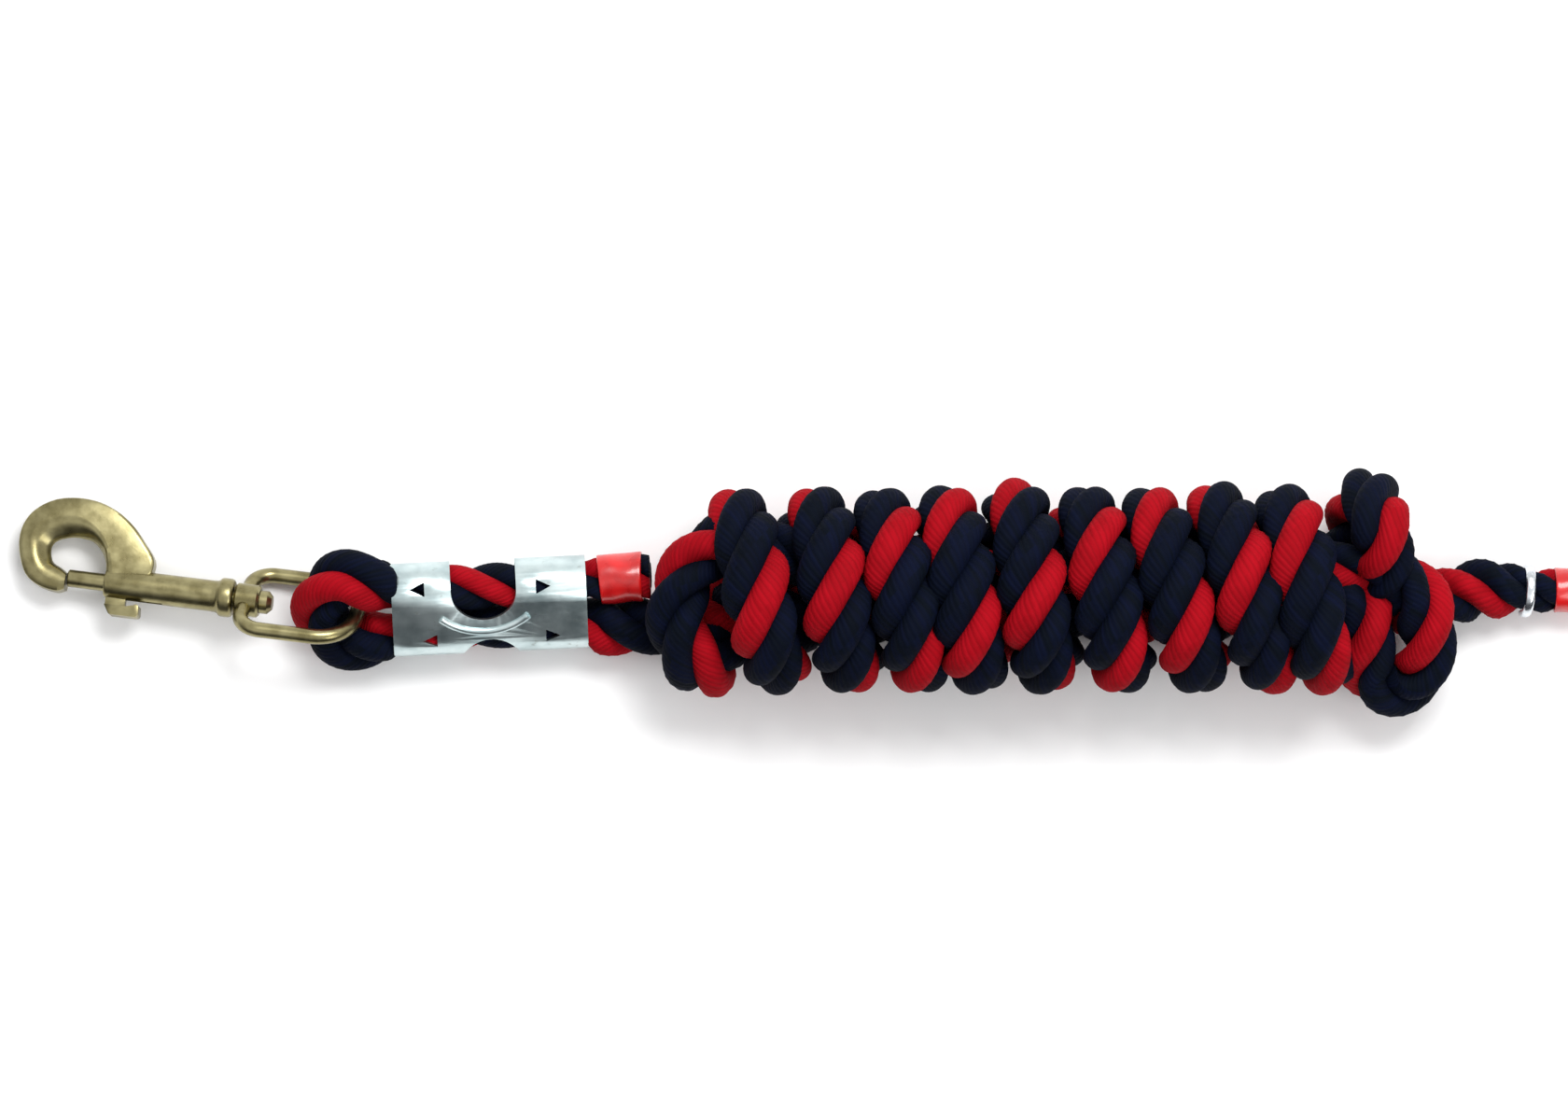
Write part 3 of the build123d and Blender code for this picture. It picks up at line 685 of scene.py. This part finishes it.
HOOK_ROWS = 110
BORE, WALL = 2.8, 4.9      # radii of the barrel's hole and outside
STUD_HOLE = 2.12
SLOT_HALF = 1.7            # half the width of the slot that the thumb piece runs in
SLOT_END = -22.2
ARC = 49                   # points on each arc of the slotted front
BARREL_SIDES = 64
FRONT_LENGTHS = [(-41.0, 0.93), (-40.7, 0.98), (-40.2, 1.0), (-30.0, 1.0), (SLOT_END, 1.0)]
REAR_PROFILE = [(SLOT_END, BORE), (SLOT_END, WALL), (-7.0, WALL), (-5.6, 5.0), (-4.9, 5.3), (-4.5, 5.75),
                (-4.0, 6.05), (-3.4, 6.1), (-1.3, 6.1), (-0.6, 5.85), (-0.2, 5.3), (-0.2, STUD_HOLE),
                (-9.4, STUD_HOLE), (-9.5, BORE), (-10.1, BORE)]


def hook():
    """The hook's section, an outer wall, a flat, a ridge and a rounded throat, the same above and below the
    plate's middle, carried along four smooth rails from the tip to the web."""
    rails = [through([row[i] for row in HOOK], HOOK_ROWS) for i in range(4)]
    half = [(rails[a] * (1 - f) + rails[b] * f, h) for a, b, f, h in HOOK_SECTION]
    ring = half + [(rails[3], 0.0)] + [(p, -h) for p, h in half[:0:-1]]
    grid = np.stack([in_snap(p[:, 0], p[:, 1], np.full(HOOK_ROWS, h)) for p, h in ring], 1)
    columns = len(ring)
    poles = grid[[0, -1]].mean(axis=1)
    pole, last = HOOK_ROWS * columns, (HOOK_ROWS - 1) * columns
    blocks = [grid_faces(HOOK_ROWS, columns)[:, ::-1], fan(pole, 0, columns),
              fan(pole + 1, last, columns, True)]
    return np.concatenate([grid.reshape(-1, 3), poles]), blocks


def barrel():
    """Two closed shells on the snap's axis. The slotted front is an arc of wall, out and back, carried along
    the axis. The rear is a profile of radii by length, with the collar and the stud's hole, turned round
    it."""
    out_from, in_from = math.asin(SLOT_HALF / WALL), math.asin(SLOT_HALF / BORE)
    out = np.linspace(out_from, 2 * math.pi - out_from, ARC)
    back = np.linspace(2 * math.pi - in_from, in_from, ARC)
    outer = np.stack([-np.cos(out), np.sin(out)], 1) * WALL
    inner = np.stack([-np.cos(back), np.sin(back)], 1) * BORE
    front = np.concatenate([in_snap(np.full(2 * ARC, u), *np.concatenate([outer * size, inner]).T)
                            for u, size in FRONT_LENGTHS])
    i = np.arange(ARC - 1)
    opposite = 2 * ARC - 1 - i
    last = (len(FRONT_LENGTHS) - 1) * 2 * ARC
    mouth = np.stack([i, i + 1, opposite - 1, opposite], -1)
    both_ends = np.stack([mouth, mouth[:, ::-1] + last], 1).reshape(-1, 4)
    blocks = [grid_faces(len(FRONT_LENGTHS), 2 * ARC), both_ends]

    turn = np.linspace(0, 2 * math.pi, BARREL_SIDES, endpoint=False)
    rear = np.concatenate([in_snap(np.full(BARREL_SIDES, u), r * np.cos(turn), r * np.sin(turn))
                           for u, r in REAR_PROFILE])
    rows = len(REAR_PROFILE)
    k = np.arange(BARREL_SIDES)
    after, last = (k + 1) % BARREL_SIDES, (rows - 1) * BARREL_SIDES
    closing = np.stack([last + k, last + after, after, k], -1)[:, ::-1] + len(front)
    blocks += [grid_faces(rows, BARREL_SIDES, len(front))[:, ::-1], closing]
    return np.concatenate([front, rear]), blocks


def outward(made):
    """Turns a closed mesh's faces to point out, after its doubled points are merged."""
    mesh = bmesh.new()
    mesh.from_mesh(made.data)
    bmesh.ops.remove_doubles(mesh, verts=mesh.verts, dist=1e-6)
    bmesh.ops.recalc_face_normals(mesh, faces=mesh.faces)
    mesh.to_mesh(made.data)
    mesh.free()
    return made


def sharpen(made, degrees):
    """Smooth shading except over edges sharper than this."""
    made.data.set_sharp_from_angle(angle=math.radians(degrees))
    return made


SPRING_R, SPRING_WIRE, SPRING_TURNS = 2.2, 0.6, 11
SPRING_FROM, SPRING_TO = -29.9, -10.15
WIRE_SIDES, TURN_STEPS = 10, 30


def helix(radius, wire, start, end, turns):
    """A round wire carried along a screw line on the snap's axis, an even rise with a cosine and a sine of
    the turn, closed at both ends."""
    t = np.linspace(0, turns * 2 * math.pi, turns * TURN_STEPS + 1)
    share = t / t[-1]
    u = start + wire / 2 + (end - start - wire) * share
    rise = (end - start - wire) / t[-1]
    centre = np.stack([u, radius * np.cos(t), radius * np.sin(t)], -1)
    along = unit(np.stack([np.full_like(t, rise), -radius * np.sin(t), radius * np.cos(t)], -1))
    out = np.stack([np.zeros_like(t), np.cos(t), np.sin(t)], -1)
    side = np.cross(along, out)
    ring = np.linspace(0, 2 * math.pi, WIRE_SIDES, endpoint=False)
    grid = centre[:, None] + wire / 2 * (out[:, None] * np.cos(ring)[None, :, None]
                                         + side[:, None] * np.sin(ring)[None, :, None])
    points = np.concatenate([grid.reshape(-1, 3), centre[[0, -1]]])
    last, pole = (len(t) - 1) * WIRE_SIDES, len(t) * WIRE_SIDES
    blocks = [grid_faces(len(t), WIRE_SIDES), fan(pole, 0, WIRE_SIDES, True), fan(pole + 1, last, WIRE_SIDES)]
    return in_snap(points[:, 0], points[:, 1], points[:, 2]), blocks


def add_snap():
    """The hook and barrel in place of the snap's body, and the spring behind the bolt."""
    plate = sharpen(outward(mesh_object("snap_hook", *hook(), [nickel])), 34)
    tube = sharpen(outward(mesh_object("snap_barrel", *barrel(), [nickel])), 40)
    for piece in (plate, tube):
        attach(piece, "snap")
        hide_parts("snap_body")
    coil = helix(SPRING_R, SPRING_WIRE, SPRING_FROM, SPRING_TO, SPRING_TURNS)
    spring = outward(mesh_object("spring_coil", *coil, [spring_steel]))
    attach(spring, "snap")
    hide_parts("bolt_spring")
    tuple(in_snap(SPRING_TO, 0, 0))
    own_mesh(spring)


def eased_copy(node, body, material, width):
    """A merged copy of a solid with its edges eased, in the solid's place."""
    made = frame["nodes"][node].copy()
    made.data = made.data.copy()
    made.name = node + "_eased"
    bpy.context.scene.collection.objects.link(made)
    made.parent = None
    for key in list(made.keys()):
        del made[key]
    outward(made)
    made.data.materials.clear()
    made.data.materials.append(material)
    made.data.polygons.foreach_set("use_smooth", np.full(len(made.data.polygons), True))
    ease = made.modifiers.new("eased_edges", "BEVEL")
    ease.width = width
    ease.segments = 2
    ease.limit_method = "ANGLE"
    ease.angle_limit = math.radians(35)
    ease.harden_normals = True
    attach(made, body)
    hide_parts(node)


# ------------------------------------------------------------------ tapes and end ring

SLEEVE_SIDES = 60
TUCKED, ROLLED = 0.80, 0.975        # radius of the tape's cut edges and of their soft corners, over its own
RING_R, RING_Z = 0.0069, 0.0088
RING_FROM, RING_TO = 227, 563       # degrees round the rope where the wire starts and stops
RING_ROWS, RING_SIDES = 73, 20
RING_DEEP, RING_WIDE = 0.00105, 0.00165         # half the flattened wire's depth and width
BOW, BOW_SET, BOW_TOWARDS = 0.0011, 0.0006, math.radians(60)


def tape_sleeve(name, s_from, s_to, radius, puff):
    """Tape round the rope: a ring with three soft lobes over the strands, a radius times cosines of the
    angle, carried along the rope and closed down onto it at both ends."""
    s = np.array([s_from, s_from, s_from + 0.0003, *np.linspace(s_from + 0.001, s_to - 0.001, 14),
                  s_to - 0.0003, s_to, s_to])
    grow = np.array([TUCKED, ROLLED, 1.0, *np.ones(14), 1.0, ROLLED, TUCKED])
    angle = np.linspace(0, 2 * math.pi, SLEEVE_SIDES, endpoint=False)
    turn = np.interp(s, rope_path.s, rope_turn)
    lobes = 1 + puff * np.cos(3 * (angle[None, :] - turn[:, None]))
    wave = 1 + 0.012 * np.sin(angle[None, :] * 2 + s[:, None] * 700)
    size = radius * grow[:, None] * lobes * wave
    p, n, b = (rope_path.at(s, what) for what in (rope_path.p, rope_path.n, rope_path.b))
    grid = p[:, None] + size[..., None] * (n[:, None] * np.cos(angle)[None, :, None]
                                           + b[:, None] * np.sin(angle)[None, :, None])
    k = np.arange(SLEEVE_SIDES)
    after, last = (k + 1) % SLEEVE_SIDES, (len(s) - 1) * SLEEVE_SIDES
    inside = np.stack([last + k, last + after, after, k], -1)
    return mesh_object(name, grid, [grid_faces(len(s), SLEEVE_SIDES), inside], [red_tape])


def end_ring():
    """Flattened wire bent round the rope, open below: a squared oval section carried round a circle whose
    radius and place along the rope vary with cosines of the angle, and drawn in at the two cut ends."""
    low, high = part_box("end_ring")
    x, y = (low.x + high.x) / 2, (low.y + high.y) / 2
    turn = np.radians(np.linspace(RING_FROM, RING_TO, RING_ROWS))
    bow = BOW * np.cos(turn - BOW_TOWARDS) - BOW_SET
    radius = RING_R * (1 + 0.06 * np.cos(2 * turn))
    centre = np.stack([x + bow, y + radius * np.cos(turn), RING_Z + radius * np.sin(turn)], -1)
    out = np.stack([np.zeros_like(turn), np.cos(turn), np.sin(turn)], -1)
    ring = np.linspace(0, 2 * math.pi, RING_SIDES, endpoint=False)
    squared = np.abs(np.cos(ring)) ** 0.75 * np.sign(np.cos(ring))
    taper = np.clip(np.minimum(turn - turn[0], turn[-1] - turn) / 0.12 + 0.45, 0, 1)[:, None, None]
    grid = centre[:, None] + taper * (out[:, None] * (RING_DEEP * np.sin(ring))[None, :, None]
                                      + np.array([1.0, 0, 0]) * (RING_WIDE * squared)[None, :, None])
    points = np.concatenate([grid.reshape(-1, 3), centre[[0, -1]]])
    last, pole = (RING_ROWS - 1) * RING_SIDES, RING_ROWS * RING_SIDES
    blocks = [grid_faces(RING_ROWS, RING_SIDES), fan(pole, 0, RING_SIDES, True),
              fan(pole + 1, last, RING_SIDES)]
    return outward(mesh_object("crimped_ring", points, blocks, [ring_metal]))


def at_x(x_mm, last):
    """Length along the rope where it passes this X, in its last 80 mm or its first 30 mm."""
    part = rope_path.s > rope_path.length - 0.08 if last else rope_path.s < 0.03
    return float(rope_path.s[part][np.argmin(np.abs(rope_path.p[part][:, 0] - x_mm * MM))])


def add_ends():
    """Both tapes and the ring, in place of their solids."""
    short = outward(tape_sleeve("short_tape", at_x(-53.2, False), at_x(-66.4, False), 0.0078, 0.02))
    far = outward(tape_sleeve("far_tape", at_x(232.6, True), at_x(245.4, True), 0.0070, 0.012))
    ring = end_ring()
    for piece, slot_name, node in ((short, "red_tape", "short_end_tape"), (far, "red_tape", "far_end_tape"),
                                   (ring, "ring_wire", "end_ring")):
        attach(piece, "rope")
        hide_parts(node)
    return [short, far, ring]


add_snap()
eased_copy("snap_bolt", "bolt", nickel, 0.00035)
eased_copy("rope_clamp", "rope", zinc, 0.00028)
for node in ("swivel_eye", "swivel_stud"):
    frame["nodes"][node].data.materials.clear()
    frame["nodes"][node].data.materials.append(nickel)

add_ends()
